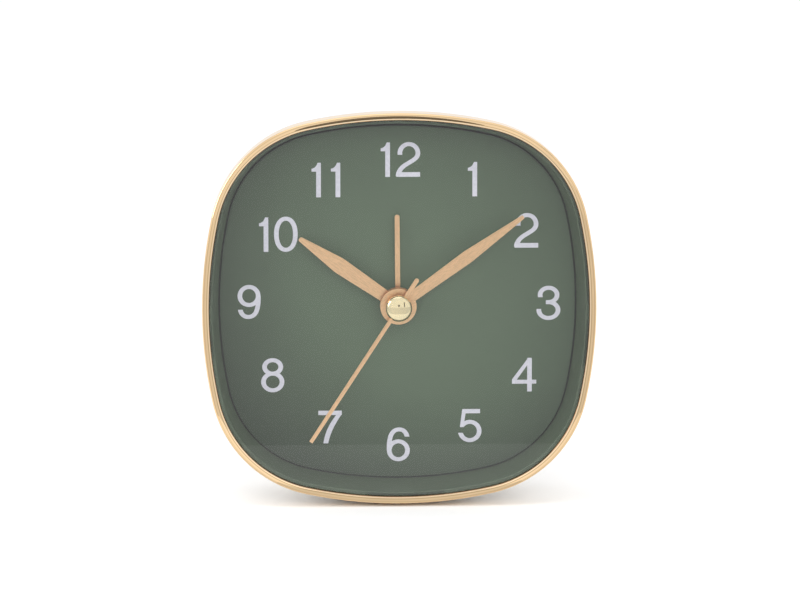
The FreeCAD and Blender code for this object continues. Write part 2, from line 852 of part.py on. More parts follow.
def seat_on(pipe, radius, depth):
    """A pipe whose front end is turned down as a seat for its hand."""
    shoulder = depth + hand_thickness
    front = depth - seat_proud
    waste = tube(centre, radius + seat_step, radius - seat_step, front, shoulder)
    return pipe.cut(waste)


def blade(sizes):
    """A hand's blade outline, pointing up from the axis."""
    length, hub_width, width, width_at, tip_width, tip_radius = sizes
    round_radius = blade_round if width > hub_width else 0
    right = [(hub_width / 2, 0, 0), (width / 2, width_at, round_radius), (tip_width / 2, length, tip_radius)]
    left = [(-x, z, radius) for x, z, radius in reversed(right)]
    return right + left


def turned(shape, angle):
    """A hand turned clockwise from twelve, as seen from the front."""
    shape.rotate(axle(0, 0, 0), backwards, angle)
    return shape


def make_hand(sizes, depth, radius, bore, angle):
    """A pressed hand: blade and round hub in one sheet, with its hole."""
    sheet = pressed(blade(sizes), depth, hand_thickness)
    hub = cylinder(centre, radius, depth, depth + hand_thickness)
    hand = join(sheet, hub).cut(cylinder(centre, bore, depth, depth + hand_thickness))
    return turned(hand, angle)


def make_minute_hand():
    """The minute hand, with a low inner disc raised on its hub."""
    bore = cannon_pipe_radius - seat_step + seat_fit
    hand = make_hand(minute_hand_sizes, minute_hand_depth, disc_radius, bore, minute_hand_angle)
    front = minute_hand_depth - inner_disc_height
    return join(hand, tube(centre, inner_disc_radius, bore, front, minute_hand_depth))


def make_second_hand():
    """The thin second hand: long blade, short tail, and a collet on its arbor."""
    bore = second_arbor_radius + seat_fit
    sheet = pressed(blade(second_hand_sizes), second_hand_depth, hand_thickness)
    tail = turned(pressed(blade(second_tail_sizes), second_hand_depth, hand_thickness), 180)
    back = second_hand_depth + hand_thickness
    boss = cylinder(centre, second_boss_radius, second_hand_depth, back)
    collet = cylinder(centre, second_collet_radius, back, back + second_collet_length)
    hand = join(sheet, tail, boss, collet)
    hand = hand.cut(cylinder(centre, bore, second_hand_depth, back + second_collet_length))
    return turned(hand, second_hand_angle)


def make_cap():
    """The polished domed cap that hides the end of the second arbor."""
    rim = second_hand_depth - cap_wall_height
    apex = rim - cap_dome_height
    bulge = (cap_radius - cap_lip) / 2
    start = Vector(0, apex, 0)
    edge = Vector(cap_radius - cap_lip, rim, 0)
    half_way = Vector(bulge, apex + cap_dome_height / 4, 0)
    corners = [edge, Vector(cap_radius, rim + cap_lip, 0), Vector(cap_radius, second_hand_depth, 0),
               Vector(0, second_hand_depth, 0), start]
    lines = [Part.LineSegment(first, last).toShape() for first, last in zip(corners, corners[1:])]
    profile = Part.Face(Part.Wire([Part.Arc(start, half_way, edge).toShape()] + lines))
    cap = profile.revolve(Vector(), backwards, 360)
    cap.translate(axle(0, 0, 0))
    bore_front = second_hand_depth - cap_bore_depth
    return cap.cut(cylinder(centre, second_arbor_radius + seat_fit, bore_front, second_hand_depth))


def make_alarm_wheel():
    """The alarm wheel with its pipe, and a notched ring that the hour wheel's lug feels."""
    back = alarm_level + wheel_thickness
    phase = mesh_phase(0, alarm_pinion_teeth, alarm_wheel_teeth, alarm_arbor_angle + 180)
    gear = wheel(alarm_wheel_teeth, motion_module, alarm_level, phase, centre)
    pipe = cylinder(centre, alarm_pipe_radius, alarm_hand_depth - seat_proud, back)
    cam = tube(centre, cam_ring_radius, cam_ring_radius - cam_ring_width, back, back + cam_height)
    notch = block(-cam_notch_width / 2, cam_notch_width / 2, back, back + cam_height, 0, cam_ring_radius)
    body = join(gear, pipe, cam.cut(notch))
    body = body.cut(cylinder(centre, alarm_pipe_bore, alarm_hand_depth - seat_proud, back))
    return seat_on(body, alarm_pipe_radius, alarm_hand_depth)


def make_hour_wheel():
    """The hour wheel with its pipe, and the lug that drops into the alarm wheel's notch."""
    phase = mesh_phase(0, minute_pinion_teeth, hour_wheel_teeth, time_arbor_angle + 180)
    gear = wheel(hour_wheel_teeth, motion_module, hour_level, phase, centre)
    pipe = cylinder(centre, hour_pipe_radius, hour_hand_depth - seat_proud, hour_level + wheel_thickness)
    lug_inner = cam_ring_radius - cam_ring_width
    lug = block(-cam_lug_width / 2, cam_lug_width / 2, hour_level - cam_height, hour_level,
                lug_inner, cam_ring_radius)
    lug.rotate(axle(0, 0, 0), backwards, 30 * hours_shown)
    body = join(gear, pipe, lug)
    front = hour_hand_depth - seat_proud
    body = body.cut(cylinder(centre, hour_pipe_bore, front, hour_level + wheel_thickness))
    return seat_on(body, hour_pipe_radius, hour_hand_depth)


def make_cannon_pinion():
    """The minute pipe with the pinion of the motion work, driven through the centre wheel."""
    gear = pinion(cannon_teeth, motion_module, motion_level, 0, centre)
    front = minute_hand_depth - seat_proud
    back = centre_level + wheel_thickness + layer_gap / 2
    body = join(gear, cylinder(centre, cannon_pipe_radius, front, back))
    body = body.cut(cylinder(centre, cannon_pipe_bore, front, back))
    return seat_on(body, cannon_pipe_radius, minute_hand_depth)


def knob_seat():
    """Where a setting arbor ends inside its knob."""
    return back_depth + knob_gap + knob_bore_depth


def make_minute_wheel():
    """The minute wheel and its pinion on the arbor that the time knob turns."""
    phase = mesh_phase(0, cannon_teeth, minute_wheel_teeth, time_arbor_angle)
    gear = wheel(minute_wheel_teeth, motion_module, motion_level, phase, time_place)
    leaves = pinion(minute_pinion_teeth, motion_module, hour_level, 0, time_place)
    arbor = pivoted(time_place, setting_arbor_radius, setting_pivot_radius, cavity_front,
                    knob_seat() + shoulder_gap, True, False)
    return join(arbor, gear, leaves)


def make_alarm_arbor():
    """The alarm-setting pinion on the arbor that the alarm knob turns."""
    leaves = pinion(alarm_pinion_teeth, motion_module, alarm_level, 0, alarm_place)
    arbor = pivoted(alarm_place, setting_arbor_radius, setting_pivot_radius, cavity_front,
                    knob_seat() + shoulder_gap, True, False)
    return join(arbor, leaves)


def make_centre_wheel():
    """The centre wheel, which grips the minute pipe as a friction clutch."""
    phase = mesh_phase(0, third_pinion_teeth, centre_wheel_teeth, third_angle + 180)
    gear = wheel(centre_wheel_teeth, centre_module, centre_level, phase, centre)
    back = centre_level + wheel_thickness
    return gear.cut(cylinder(centre, cannon_pipe_radius + running_gap, centre_level, back))


def make_third_wheel():
    """The third wheel with the pinion that drives the centre wheel."""
    phase = mesh_phase(0, second_pinion_teeth, third_wheel_teeth, third_angle)
    gear = wheel(third_wheel_teeth, third_module, third_level, phase, third_place)
    leaves = pinion(third_pinion_teeth, centre_module, centre_level, 0, third_place)
    front = plate_depth + plate_thickness
    arbor = pivoted(third_place, arbor_radius, pivot_radius, front, cavity_back, True, True)
    return join(arbor, gear, leaves)


def make_second_wheel():
    """The second wheel and pinion on the long arbor that reaches the cap."""
    gear = wheel(second_wheel_teeth, drive_module, second_level, 0, centre)
    leaves = pinion(second_pinion_teeth, third_module, third_level, 0, centre)
    tip = second_hand_depth - cap_bore_depth
    arbor = pivoted(centre, second_arbor_radius, pivot_radius, tip - shoulder_gap, cavity_back, False, True)
    return join(arbor, gear, leaves)


def drive_pinion_phase():
    """The drive pinion in mesh with the second wheel."""
    return mesh_phase(0, second_wheel_teeth, drive_pinion_teeth, drive_angle)


def make_drive_wheel():
    """The wheel between the rotor and the second wheel."""
    gear = wheel(drive_wheel_teeth, rotor_module, drive_level, 0, drive_place)
    leaves = pinion(drive_pinion_teeth, drive_module, second_level, drive_pinion_phase(), drive_place)
    front = plate_depth + plate_thickness
    arbor = pivoted(drive_place, arbor_radius, pivot_radius, front, cavity_back, True, True)
    return join(arbor, gear, leaves)


def coil_depth():
    """The depth of the coil's middle, half way between the plate and the back tray."""
    return (plate_depth + plate_thickness + cavity_back) / 2


def stator_depth():
    """The stator's front face, which the coil's core lies behind."""
    return coil_depth() - core_thickness / 2 - stator_thickness


def make_rotor():
    """The motor's rotor: a round magnet and a small pinion on one arbor."""
    middle = stator_depth() + stator_thickness / 2
    phase = mesh_phase(0, drive_wheel_teeth, rotor_pinion_teeth, rotor_angle)
    magnet = cylinder(rotor_place, magnet_radius, middle - magnet_length / 2, middle + magnet_length / 2)
    leaves = pinion(rotor_pinion_teeth, rotor_module, drive_level, phase, rotor_place)
    front = plate_depth + plate_thickness
    arbor = pivoted(rotor_place, arbor_radius, pivot_radius, front, cavity_back, True, True)
    return join(arbor, magnet, leaves)


def make_stator():
    """The C-shaped iron plate round the rotor, with detent notches in its hole."""
    x, z = rotor_place
    left = coil_place[0] - core_width
    bar = x - stator_half_width
    low, high = z - stator_half_height, z + stator_half_height
    leg = stator_leg_width
    right = x + stator_half_width
    corners = [(left, low, 0), (right, low, leg / 2), (right, high, leg / 2), (left, high, 0),
               (left, high - leg, 0), (bar, high - leg, 0), (bar, low + leg, 0), (left, low + leg, 0)]
    sheet = pressed(corners, stator_depth(), stator_thickness)
    back = stator_depth() + stator_thickness
    bore = magnet_radius + magnet_gap
    cutters = [cylinder(rotor_place, bore, stator_depth(), back)]
    for angle in (45, 225):
        along_x, along_z = polar(bore, angle)
        cutters.append(cylinder((x + along_x, z + along_z), stator_notch_radius, stator_depth(), back))
    return cut_all(sheet, cutters)


def along_coil(radius, low, high):
    """A round bar along the coil."""
    return Part.makeCylinder(radius, high - low, axle(coil_place[0], coil_depth(), low), Vector(0, 0, 1))


def coil_half():
    """Half of the coil's length, between the stator's two legs."""
    return stator_half_height - stator_leg_width


def coil_core_bar(low, high, grow):
    """The core's square bar, or with some growth the way through the bobbin."""
    x = coil_place[0]
    half_width = core_width / 2 + grow
    half_thickness = core_thickness / 2 + grow
    return block(x - half_width, x + half_width, coil_depth() - half_thickness, coil_depth() + half_thickness,
                 low, high)


def make_coil_core():
    """The soft-iron core that bridges the stator's legs."""
    z = rotor_place[1]
    return coil_core_bar(z - stator_half_height, z + stator_half_height, 0)


def make_bobbin():
    """The coil's bobbin, a square-bored tube between two flanges."""
    z, half = rotor_place[1], coil_half()
    lower = along_coil(coil_flange_radius, z - half, z - half + coil_flange_thickness)
    upper = along_coil(coil_flange_radius, z + half - coil_flange_thickness, z + half)
    body = join(along_coil(coil_tube_radius, z - half, z + half), lower, upper)
    return body.cut(coil_core_bar(z - half, z + half, running_gap))


def make_winding():
    """The copper winding as one closed sleeve on the bobbin."""
    z, half = rotor_place[1], coil_half() - coil_flange_thickness
    sleeve = along_coil(winding_radius, z - half, z + half)
    return sleeve.cut(along_coil(coil_tube_radius, z - half, z + half))


def make_board():
    """The circuit board, flat on the floor of the back tray."""
    low, high = board_rise - board_half_height, board_rise + board_half_height
    front = cavity_back - board_thickness
    return rounded_block(board_left, board_right, low, high, board_edge, front, board_thickness)


def make_chip():
    """The drop of black resin over the bare chip."""
    x = (board_left + board_right) / 2
    front = cavity_back - board_thickness
    drop = cylinder((x, board_rise - board_half_height / 2), chip_radius, front - chip_height, front)
    return drop.makeFillet(chip_side_radius, edges_at(drop, front - chip_height, chip_radius))


def make_crystal():
    """The quartz crystal in its small round can, lying on the board."""
    x = (board_left + board_right) / 2
    depth = cavity_back - board_thickness - crystal_gap - crystal_radius
    start = axle(x, depth, board_rise + board_half_height / 4)
    return Part.makeCylinder(crystal_radius, crystal_length, start, Vector(0, 0, 1))


def make_alarm_contact():
    """The leaf spring behind the hour wheel, bent up from a foot on the movement's plate."""
    leaf_back = hour_level + wheel_thickness + layer_gap + leaf_thickness
    leaf_front = leaf_back - leaf_thickness
    foot_front = plate_depth - leaf_thickness
    foot_start = leaf_foot - leaf_foot_length
    rise_start = foot_start - leaf_rise_length
    outer = leaf_bend + leaf_thickness
    corners = [(leaf_tip, leaf_front, 0), (rise_start, leaf_front, outer),
               (foot_start, foot_front, leaf_bend), (leaf_foot, foot_front, 0),
               (leaf_foot, plate_depth, 0), (foot_start, plate_depth, outer),
               (rise_start, leaf_back, leaf_bend), (leaf_tip, leaf_back, 0)]
    return top_profile(corners, -leaf_drop - leaf_width / 2, leaf_width)


def make_buzzer():
    """The flat sounder: a brass disc with a smaller ceramic disc on it."""
    back = cover_depth - buzzer_stand
    place = (0, buzzer_height)
    front = back - buzzer_thickness
    middle = (front + back) / 2
    return join(cylinder(place, buzzer_radius, middle, back),
                cylinder(place, buzzer_radius * buzzer_disc_share, front, middle))


def switch_middle():
    """The middle of the alarm switch's slot, beside the knobs."""
    return (-switch_offset, time_place[1])


def switch_base_half():
    """Half the height of the switch's base, enough to cover the slot at both ends."""
    return switch_lever_height / 2 + switch_travel + switch_base_overlap


def make_alarm_switch():
    """The alarm's on and off slider, at the lower end of its slot."""
    x, z = switch_middle()
    low_z = z - switch_travel / 2
    half = switch_base_half()
    base_back = cover_depth - switch_gap
    base = block(x - switch_base_width / 2, x + switch_base_width / 2, base_back - switch_base_thickness,
                 base_back, low_z - half, low_z + half)
    lever = rounded_block(x - switch_lever_width / 2, x + switch_lever_width / 2,
                          low_z - switch_lever_height / 2, low_z + switch_lever_height / 2,
                          switch_edge, base_back, back_depth + switch_proud - base_back)
    groove = []
    for step in (-1, 0, 1):
        middle = low_z + step * switch_lever_height / 4
        top = back_depth + switch_proud
        groove.append(block(x - switch_lever_width / 2, x + switch_lever_width / 2, top - switch_edge, top,
                            middle - switch_edge / 2, middle + switch_edge / 2))
    return join(base, cut_all(lever, groove))


def make_knob(place):
    """A fluted setting knob, pushed on its arbor from behind."""
    front = back_depth + knob_gap
    back = front + knob_height
    module = 2 * (knob_radius - knob_flute_depth) / knob_flute_count
    depth_share = knob_flute_depth / module
    form = {"root": knob_form_shares["root"], "tip": knob_form_shares["tip"],
            "addendum": depth_share, "dedendum": depth_share}
    flange = cylinder(place, knob_radius, front, front + knob_flange_height)
    grip_front = front + knob_flange_height
    grip = toothed(knob_flute_count, module, form, grip_front, back - grip_front, 0, place)
    crown = cylinder(place, knob_radius, front, back)
    crown = crown.makeFillet(knob_edge, edges_at(crown, back, knob_edge))
    body = join(flange, grip).common(crown)
    return body.cut(cylinder(place, setting_arbor_radius + seat_fit, front, knob_seat()))


def make_parts():
    """Every piece of the clock by its name."""
    cover_seat = back_depth - screw_recess
    movement_length = movement_back_depth - movement_depth + movement_screw_bite
    alarm_bore = alarm_pipe_radius - seat_step + seat_fit
    hour_bore = hour_pipe_radius - seat_step + seat_fit
    hour_hand_angle = 30 * hours_shown + minute_hand_angle / 12
    return {
        "bezel": make_bezel(),
        "lens": make_lens(),
        "dial_ring": make_dial_ring(),
        "dial": make_dial(),
        "dial_carrier": make_carrier(),
        "case_shell": make_case(),
        "rubber_feet": make_pads(),
        "rear_cover": make_rear_cover(),
        "cover_screws": make_screws(post_places, screw_radius, screw_head_radius, screw_head_height,
                                    cover_seat, screw_length),
        "battery_door": make_battery_door(),
        "battery_tray": make_battery_tray(),
        "battery": make_battery(),
        "positive_contact": make_contact(1),
        "negative_contact": make_contact(-1),
        "movement_front": make_movement_front(),
        "movement_plate": make_movement_plate(),
        "movement_back": make_movement_back(),
        "movement_screws": make_screws(boss_places, movement_screw_radius, movement_head_radius,
                                       movement_head_height, movement_back_depth, movement_length),
        "alarm_hand": make_hand(alarm_hand_sizes, alarm_hand_depth, alarm_disc_radius, alarm_bore,
                                alarm_hand_angle),
        "hour_hand": make_hand(hour_hand_sizes, hour_hand_depth, disc_radius, hour_bore, hour_hand_angle),
        "minute_hand": make_minute_hand(),
        "second_hand": make_second_hand(),
        "hand_cap": make_cap(),
        "alarm_wheel": make_alarm_wheel(),
        "hour_wheel": make_hour_wheel(),
        "cannon_pinion": make_cannon_pinion(),
        "minute_wheel": make_minute_wheel(),
        "alarm_arbor": make_alarm_arbor(),
        "centre_wheel": make_centre_wheel(),
        "third_wheel": make_third_wheel(),
        "second_wheel": make_second_wheel(),
        "drive_wheel": make_drive_wheel(),
        "rotor": make_rotor(),
        "stator": make_stator(),
        "coil_core": make_coil_core(),
        "coil_bobbin": make_bobbin(),
        "coil_winding": make_winding(),
        "circuit_board": make_board(),
        "control_chip": make_chip(),
        "quartz_crystal": make_crystal(),
        "alarm_contact": make_alarm_contact(),
        "buzzer": make_buzzer(),
        "alarm_switch": make_alarm_switch(),
        "time_knob": make_knob(time_place),
        "alarm_knob": make_knob(alarm_place),
    }


os.makedirs("parts", exist_ok=True)
for name, shape in make_parts().items():
    shape.exportStep("parts/" + name + ".step")
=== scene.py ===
import json
import math

import bmesh
import bpy
from mathutils import Matrix, Vector
from mathutils.geometry import delaunay_2d_cdt, interpolate_bezier


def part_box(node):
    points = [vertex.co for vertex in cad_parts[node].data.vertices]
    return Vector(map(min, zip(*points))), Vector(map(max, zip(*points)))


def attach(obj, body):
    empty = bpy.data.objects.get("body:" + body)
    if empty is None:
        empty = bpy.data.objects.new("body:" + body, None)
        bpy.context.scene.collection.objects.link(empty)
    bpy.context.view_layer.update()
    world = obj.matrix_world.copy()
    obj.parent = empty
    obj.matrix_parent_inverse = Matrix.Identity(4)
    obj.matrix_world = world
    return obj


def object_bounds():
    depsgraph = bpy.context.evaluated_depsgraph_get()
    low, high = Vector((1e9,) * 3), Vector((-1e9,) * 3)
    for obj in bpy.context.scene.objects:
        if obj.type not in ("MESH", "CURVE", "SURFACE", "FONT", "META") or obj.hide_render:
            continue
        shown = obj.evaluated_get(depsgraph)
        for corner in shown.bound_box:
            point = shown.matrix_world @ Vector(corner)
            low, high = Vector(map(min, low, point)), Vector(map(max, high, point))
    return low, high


# The looks of a small quartz alarm clock: a finish for every CAD node, the numerals printed on
# its dial, the marks moulded on its back, and a plain studio. All lengths are in metres.

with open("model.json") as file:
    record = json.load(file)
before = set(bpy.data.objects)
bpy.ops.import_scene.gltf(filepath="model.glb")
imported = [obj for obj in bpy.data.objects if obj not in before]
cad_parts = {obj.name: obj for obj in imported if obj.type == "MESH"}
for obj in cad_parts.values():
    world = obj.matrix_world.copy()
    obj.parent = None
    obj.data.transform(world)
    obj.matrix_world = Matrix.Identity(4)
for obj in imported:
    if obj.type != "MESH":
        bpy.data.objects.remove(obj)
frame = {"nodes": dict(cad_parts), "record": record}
cad_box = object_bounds()
nodes = frame["nodes"]
mm = 0.001
bezel_middle = sum(corner.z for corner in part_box("bezel")) / 2

# The face outline's arcs. The bezel's front and the cap's dome bend back towards their edges:
# over a width, first in a roll, by a bend in radians for each metre.
outline_half = 45 * mm
side_radius = 100 * mm
corner_radius = 28 * mm
corner_centre = 15.345 * mm
crown_width = 1.7 * mm
crown_roll = 1.08 * mm
crown_bend = 120
ring_blur = 0.08 * mm
cap_roll = 0.7 * mm
cap_bend = 860

# Thin rings of painted reflection round the bezel's front, a pale painted highlight and a brown painted
# shade line among them: from which inset to which, and their colour
painted_reflection_rings = [
    (0.30 * mm, 0.60 * mm, (226, 193, 149)),
    (0.98 * mm, 1.22 * mm, (212, 178, 134)),
    (1.26 * mm, 1.50 * mm, (253, 231, 198)),
    (1.56 * mm, 1.80 * mm, (176, 122, 76)),
]

# Camera: its angle, its distance from the bezel, and how much of the bezel's plane it sees
camera_azimuth = -2.2
camera_elevation = 8.8
camera_distance = 1500 * mm
view_width = 182.2 * mm
sensor_width = 36.0
aim_right = 0.11 * mm
aim_up = 1.69 * mm

# Studio: the floor, what the floor looks like in mirrors, and the lights. Only reflections see the cards.
floor_half = 4.0
floor_colour = (250, 250, 250)
world_light = 1.02
card_rise = 0.2 * mm
card_half = 2.5
floor_cards = [
    # The foot card is dimmer: painted shade, standing in for the clock's shadow on the floor where the
    # bezel mirrors it.
    ("foot_card", 0, 0.80),
    ("near_floor_card", 13 * mm, 1.13),
    ("dim_floor_card", 79 * mm, 0.81),
    ("far_floor_card", 700 * mm, 0.92),
]
card_gradient = 60 * mm
card_tilt = 0.05
camera_light = 0.2
stand_light = 0.04
camera_card_place = (38 * mm, 170 * mm)
camera_card_half = (112 * mm, 105 * mm)
open_oval = 345
stand_place = (1.37, -3.76)
stand_width = 280 * mm
stand_height = 1220 * mm

# Lights, all aimed at one height: place, width, height, brightness, and whether metal mirrors it
light_aim = 45 * mm
lights = {
    "light_above": ((-0.10, -0.20, 0.75), 0.6, 0.4, 0.7, True),
    "light_left": ((-0.75, -0.35, 0.35), 0.35, 0.45, 4.4, True),
    "light_right": ((0.75, -0.45, 0.30), 0.3, 0.4, 2.6, False),
    "light_front": ((0.15, -1.60, 0.62), 1.0, 0.8, 4.2, False),
}

# Numerals: their strokes and where the middle of each stands from the dial's middle
numeral_stem = 1.07 * mm
numeral_bar = 0.93 * mm
numeral_relief = 0.03 * mm
digit_gap = 1.3 * mm
ones_gap = 2.3 * mm
numeral_places = {
    12: (0.65, 32.93), 1: (17.15, 28.3), 2: (29.49, 16.4), 3: (34.67, -0.46),
    4: (29.12, -17.14), 5: (16.64, -28.94), 6: (0.15, -33.21), 7: (-15.55, -29.06),
    8: (-28.7, -16.9), 9: (-34.07, 0.16), 10: (-27.32, 15.8), 11: (-16.41, 28.27),
}
arc_steps = 24
bend_steps = 16
weld_distance = 0.0001 * mm
flat_angle = 0.5

# Marks moulded on the back: curved arrows over the knobs, and words beside the switch
mark_relief = 0.15 * mm
arrow_radius = 8.8 * mm
arrow_width = 0.6 * mm
arrow_half_angle = 28
arrow_head = 1.0 * mm
arrow_point_share = 1.7
word_height = 2.0 * mm
word_width_share = 0.62
word_stroke = 0.35 * mm
word_clear = 1.2 * mm

# The dial's painted shade: how far from its middle it darkens, and how far from a place up on the right
dial_painted_shade = (6 * mm, 44 * mm)
painted_shade_place = (15 * mm, 18 * mm)
painted_shade_reach = (40 * mm, 66 * mm)

# The printed film on the cell: its bare end, its pale band, and how sharp the print is
film_inset = 1.6 * mm
film_band = 12 * mm
print_edge = 0.05 * mm

# The hands' metal, and the angles at which they point, in degrees clockwise from twelve
hand_gold = (243, 200, 157)
hand_roughness = 0.33
hand_angles = {"alarm_hand": -0.5, "hour_hand": 304.5, "minute_hand": 54.2, "second_hand": 213.0}


def linear(colour):
    """A colour given as screen values from 0 to 255, as the shader needs it."""
    parts = []
    for value in colour:
        share = value / 255
        parts.append(share / 12.92 if share <= 0.04045 else ((share + 0.055) / 1.055) ** 2.4)
    return (*parts, 1.0)


def shade(colour, factor):
    """A colour made lighter or darker."""
    return tuple(min(255, value * factor) for value in colour)


class Finish:
    """A material, with one short call for each kind of node that the finishes use."""

    def __init__(self, name):
        self.material = bpy.data.materials.new(name)
        self.material.use_nodes = True
        self.tree = self.material.node_tree
        self.shader = self.tree.nodes["Principled BSDF"]
        self.output = self.tree.nodes["Material Output"]
        self.place = self.add("ShaderNodeTexCoord").outputs["Object"]

    def add(self, kind, **settings):
        node = self.tree.nodes.new(kind)
        for key, value in settings.items():
            setattr(node, key, value)
        return node

    def link(self, source, socket):
        self.tree.links.new(source, socket)

    def mapped(self, scale, turn=0.0):
        """The object's own coordinates, turned about the axis of the hands and stretched."""
        turned = self.add("ShaderNodeMapping", vector_type="POINT")
        turned.inputs["Rotation"].default_value = (0, turn, 0)
        self.link(self.place, turned.inputs["Vector"])
        stretched = self.add("ShaderNodeMapping", vector_type="POINT")
        stretched.inputs["Scale"].default_value = scale
        self.link(turned.outputs["Vector"], stretched.inputs["Vector"])
        return stretched.outputs["Vector"]

    def noise(self, scale, detail=2.0, place=None):
        node = self.add("ShaderNodeTexNoise")
        node.inputs["Scale"].default_value = scale
        node.inputs["Detail"].default_value = detail
        self.link(place or self.place, node.inputs["Vector"])
        return node.outputs["Fac"]

    def waves(self, scale, direction, shape="SIN", place=None):
        node = self.add("ShaderNodeTexWave", bands_direction=direction, wave_profile=shape)
        node.inputs["Scale"].default_value = scale
        self.link(place or self.place, node.inputs["Vector"])
        return node.outputs["Fac"]

    def ranged(self, value, low, high, start=0.0, end=1.0):
        """A value from start to end, brought to the range from low to high."""
        node = self.add("ShaderNodeMapRange")
        node.inputs["From Min"].default_value = start
        node.inputs["From Max"].default_value = end
        node.inputs["To Min"].default_value = low
        node.inputs["To Max"].default_value = high
        self.link(value, node.inputs["Value"])
        return node.outputs["Result"]

    def mixed(self, value, first, second):
        """Two colours mixed by a value. Either may be the output of another node."""
        node = self.add("ShaderNodeMix", data_type="RGBA")
        self.link(value, node.inputs["Factor"])
        for socket, colour in (("A", first), ("B", second)):
            target = [s for s in node.inputs if s.name == socket and s.type == "RGBA"][0]
            if isinstance(colour, tuple):
                target.default_value = linear(colour)
            else:
                self.link(colour, target)
        return [s for s in node.outputs if s.type == "RGBA"][0]

    def along(self, axis):
        """One of the object's own coordinates."""
        node = self.add("ShaderNodeSeparateXYZ")
        self.link(self.place, node.inputs["Vector"])
        return node.outputs[axis]

    def distance(self, centre):
        """How far a point lies from a place on the object."""
        node = self.add("ShaderNodeVectorMath", operation="DISTANCE")
        self.link(self.place, node.inputs[0])
        node.inputs[1].default_value = centre
        return node.outputs["Value"]

    def maths(self, operation, *values):
        """An operation on numbers and on the outputs of other nodes."""
        node = self.add("ShaderNodeMath", operation=operation)
        for socket, value in zip(node.inputs, values):
            if isinstance(value, (int, float)):
                socket.default_value = value
            else:
                self.link(value, socket)
        return node.outputs["Value"]

    def length(self, across, up):
        """The length of a step across and up."""
        return self.maths("SQRT", self.maths("ADD", self.maths("MULTIPLY", across, across),
                                             self.maths("MULTIPLY", up, up)))

    def inset(self):
        """How far in from the face outline a point lies, by the outline's own arcs."""
        across = self.maths("ABSOLUTE", self.along("X"))
        upward = self.maths("ABSOLUTE", self.maths("SUBTRACT", self.along("Z"), bezel_middle))
        longer, shorter = self.maths("MAXIMUM", across, upward), self.maths("MINIMUM", across, upward)
        side_centre = side_radius - outline_half
        reach = self.maths("ADD", longer, side_centre)
        from_side = self.maths("SUBTRACT", side_radius, self.length(reach, shorter))
        from_corner = self.maths("SUBTRACT", corner_radius,
                                 self.length(self.maths("SUBTRACT", longer, corner_centre),
                                             self.maths("SUBTRACT", shorter, corner_centre)))
        share = corner_centre / (corner_centre + side_centre)
        at_corner = self.maths("GREATER_THAN", self.maths("DIVIDE", shorter, reach), share)
        return self.maths("ADD", self.maths("MULTIPLY", from_corner, at_corner),
                          self.maths("MULTIPLY", from_side, self.maths("SUBTRACT", 1, at_corner)))

    def rolled(self, from_edge, width, roll, bend):
        """A front that bends back along its edge: rolled at first, then straight on as a chamfer."""
        left = self.maths("MAXIMUM", self.maths("SUBTRACT", width, from_edge), 0)
        past = self.maths("MAXIMUM", self.maths("SUBTRACT", left, roll), 0)
        drop = self.maths("SUBTRACT", self.maths("MULTIPLY", left, left),
                          self.maths("MULTIPLY", past, past))
        self.bump(self.maths("MULTIPLY", drop, -bend / 2), 1.0)

    def inwards(self, centre):
        """One where the surface looks towards the line along Y through a centre, and nought elsewhere."""
        outward = self.add("ShaderNodeVectorMath", operation="SUBTRACT")
        self.link(self.place, outward.inputs[0])
        outward.inputs[1].default_value = centre
        level = self.add("ShaderNodeVectorMath", operation="MULTIPLY")
        self.link(outward.outputs["Vector"], level.inputs[0])
        level.inputs[1].default_value = (1, 0, 1)
        length = self.add("ShaderNodeVectorMath", operation="NORMALIZE")
        self.link(level.outputs["Vector"], length.inputs[0])
        facing = self.add("ShaderNodeVectorMath", operation="DOT_PRODUCT")
        self.link(length.outputs["Vector"], facing.inputs[0])
        self.link(self.add("ShaderNodeNewGeometry").outputs["True Normal"], facing.inputs[1])
        return self.ranged(facing.outputs["Value"], 1.0, 0.0, -0.6, -0.4)

    def bump(self, height, depth, strength=1.0):
        """Relief of a depth in metres. A second call adds to the first."""
        node = self.add("ShaderNodeBump")
        node.inputs["Distance"].default_value = depth
        node.inputs["Strength"].default_value = strength
        self.link(height, node.inputs["Height"])
        normal = self.shader.inputs["Normal"]
        if normal.is_linked:
            self.link(normal.links[0].from_socket, node.inputs["Normal"])
        self.link(node.outputs["Normal"], normal)

    def set(self, **values):
        """Constant values set on the shader's own sockets."""
        for key, value in values.items():
            self.shader.inputs[key.replace("_", " ").title().replace("Ior", "IOR")].default_value = value

    def colour(self, source):
        self.link(source, self.shader.inputs["Base Color"])

    def roughness(self, source):
        self.link(source, self.shader.inputs["Roughness"])


def moulded(name, colour, roughness, grain=2400, depth=0.02 * mm, gloss=0.4):
    """Moulded plastic: faint flow in its colour and a fine spark-eroded grain."""
    finish = Finish(name)
    flow = finish.noise(55, 3.0)
    speckle = finish.noise(3200, 1.0)
    base = finish.mixed(finish.ranged(flow, 0.0, 1.0, 0.3, 0.7), shade(colour, 0.975),
                        shade(colour, 1.015))
    finish.colour(finish.mixed(finish.ranged(speckle, 0.0, 0.12, 0.45, 0.75), base, shade(colour, 0.9)))
    finish.roughness(finish.ranged(finish.noise(420), roughness - 0.06, roughness + 0.06))
    finish.bump(finish.noise(grain, 2.0), depth, 0.6)
    finish.bump(finish.noise(90, 1.0), 0.05 * mm, 0.25)
    finish.set(specular_ior_level=gloss)
    return finish.material


def polished(name, colour, roughness, scratch):
    """Bright plated metal with faint polishing lines and slightly uneven gloss."""
    finish = Finish(name)
    finish.set(metallic=1.0)
    wide = finish.noise(70, 2.0)
    plate = finish.mixed(finish.ranged(wide, 0.0, 1.0, 0.3, 0.7), shade(colour, 0.97), shade(colour, 1.02))
    finish.colour(plate)
    finish.roughness(finish.ranged(finish.noise(900, 3.0), roughness, 2 * roughness, 0.35, 0.75))
    finish.bump(finish.noise(1, 2.0, finish.mapped((900, 900, 7000))), scratch, 0.5)
    return finish, plate


